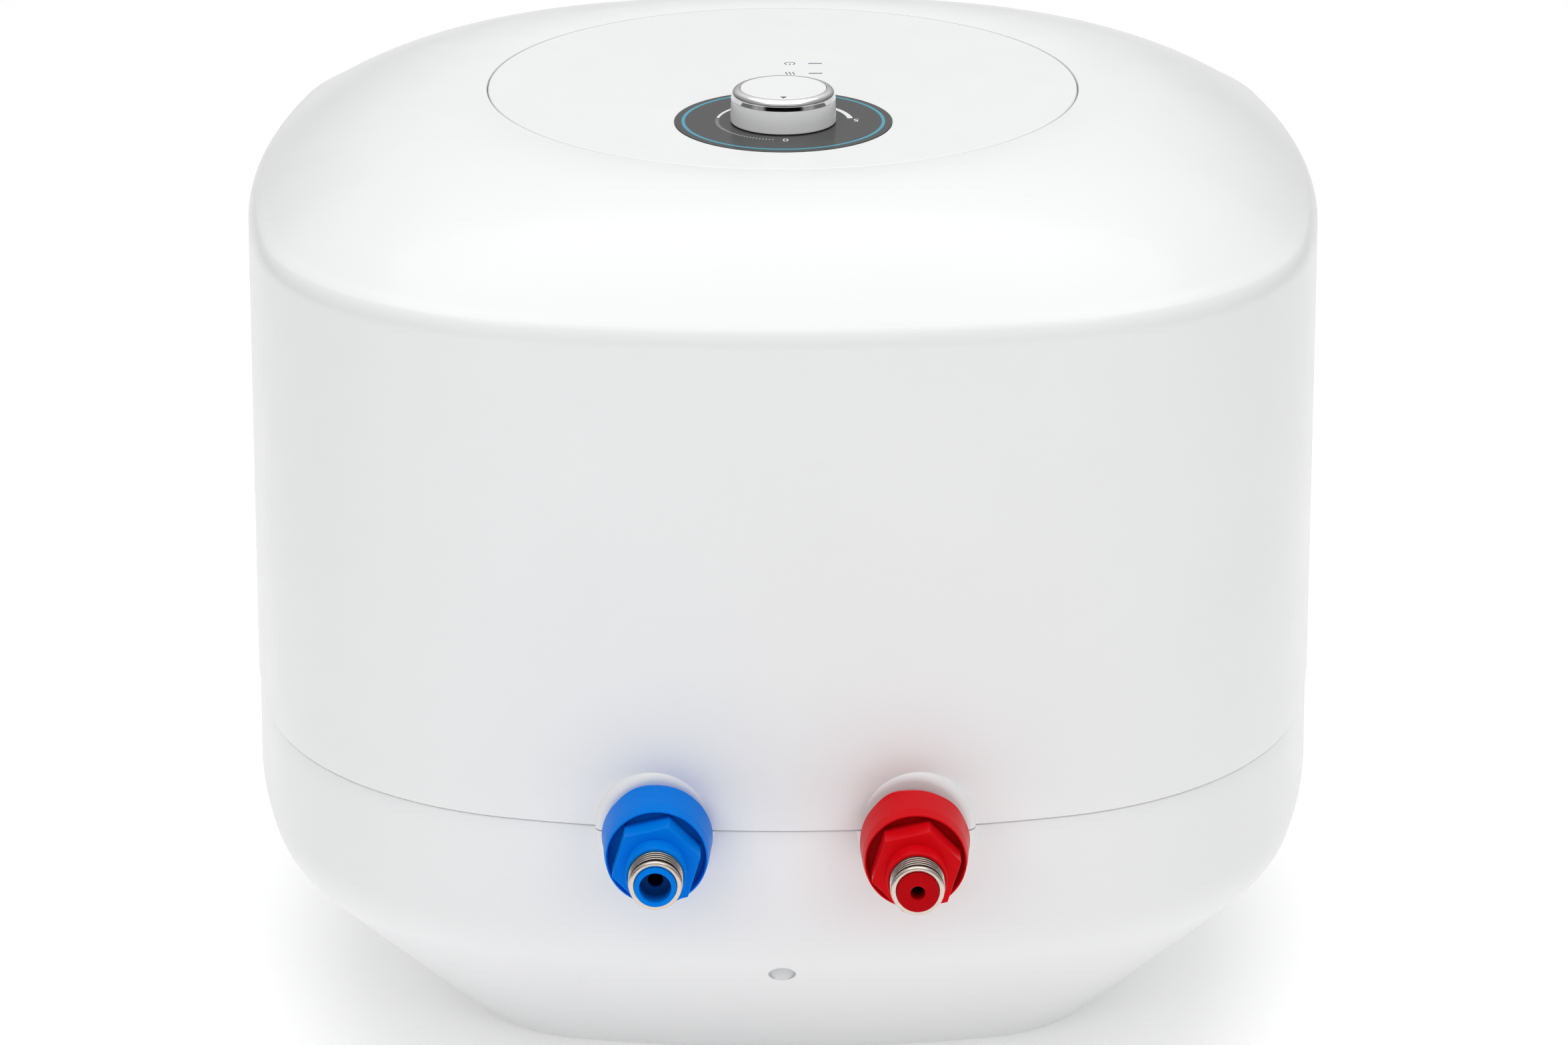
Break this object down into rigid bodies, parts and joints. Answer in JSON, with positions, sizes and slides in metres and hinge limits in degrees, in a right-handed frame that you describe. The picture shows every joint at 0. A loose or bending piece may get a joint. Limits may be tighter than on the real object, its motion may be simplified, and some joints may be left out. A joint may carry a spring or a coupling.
{
  "type": "tank water heater",
  "caption": "Compact under-sink storage water heater: domed white casing, front dial with temperature knob, blue and red threaded water fittings.",
  "frame": {"origin": "centre of the flat back face, the face that goes against the wall and on which the heater lies here", "axes": "+Z out of the front face, along the knob's axis; -Y towards the two water fittings, which is up once the heater hangs on a wall; +X to the right, towards the red hot-water outlet"},
  "size_m": [0.4514, 0.5111, 0.3913],
  "materials": {
    "white_casing": "gloss",
    "port_plug": "matte",
    "black_rubber": "matte",
    "dial_grey": "satin",
    "cyan_ring": "satin",
    "indicator_lens": "gloss",
    "circuit_board": "satin",
    "green_lamp": "gloss",
    "amber_lamp": "gloss",
    "cream_plastic": "satin",
    "copper": "satin",
    "black_plastic": "satin",
    "red_button": "satin",
    "brown_wire": "satin",
    "blue_wire": "satin",
    "green_wire": "satin",
    "brass": "satin",
    "tank_enamel": "satin",
    "anode_metal": "matte",
    "foam": "matte",
    "blue_plastic": "satin",
    "red_plastic": "satin",
    "nickel": "polished",
    "pipe_plastic": "satin",
    "chrome": "polished",
    "zinc_plate": "satin",
    "bright_steel": "satin"
  },
  "bodies": {
    "casing": {"rear_shell": "white_casing", "front_shell": "white_casing", "foam_plug": "port_plug", "cable_gland": "black_rubber", "front_panel": "white_casing", "dial_plate": "dial_grey", "dial_ring": "cyan_ring", "power_light_window": "indicator_lens", "heating_light_window": "indicator_lens", "indicator_board": "circuit_board", "power_lamp": "green_lamp", "heating_lamp": "amber_lamp", "thermostat_bracket": "bright_steel", "thermostat_body": "cream_plastic", "thermostat_probe": "copper", "thermal_cutout": "black_plastic", "terminal_block": "cream_plastic", "live_lead": "brown_wire", "neutral_lead": "blue_wire", "earth_lead": "green_wire", "earth_screw": "brass", "tank_front": "tank_enamel", "tank_rear": "tank_enamel", "flange_plate": "bright_steel", "flange_gasket": "black_rubber", "flange_bolt_1": "bright_steel", "flange_bolt_2": "bright_steel", "flange_bolt_3": "bright_steel", "flange_bolt_4": "bright_steel", "flange_bolt_5": "bright_steel", "heating_element": "copper", "thermowell": "bright_steel", "anode_rod": "anode_metal", "insulation_front": "foam", "insulation_rear": "foam", "inlet_coupling": "blue_plastic", "inlet_thread": "nickel", "inlet_core": "blue_plastic", "inlet_nipple": "bright_steel", "inlet_grommet": "black_rubber", "inlet_pipe": "pipe_plastic", "outlet_coupling": "red_plastic", "outlet_thread": "nickel", "outlet_core": "red_plastic", "outlet_nipple": "bright_steel", "outlet_grommet": "black_rubber", "outlet_pipe": "bright_steel", "wall_bracket": "zinc_plate", "bracket_screw_1": "bright_steel", "bracket_screw_2": "bright_steel"},
    "knob": {"knob_skirt": "white_casing", "knob_bezel": "chrome", "knob_cap": "white_casing", "thermostat_spindle": "bright_steel"},
    "reset": {"reset_button": "red_button"}
  },
  "joints": [
    {"name": "knob_turn", "type": "hinge", "parent": "casing", "child": "knob", "pos_m": [0, -0.0553, 0.385], "axis": [0, 0, -1], "range_deg": [0, 263]},
    {"name": "reset_press", "type": "slide", "parent": "casing", "child": "reset", "axis": [0, 0, -1], "range_m": [0, 0.002], "stiffness_N_per_m": 400, "springref_m": -0.0005}
  ]
}
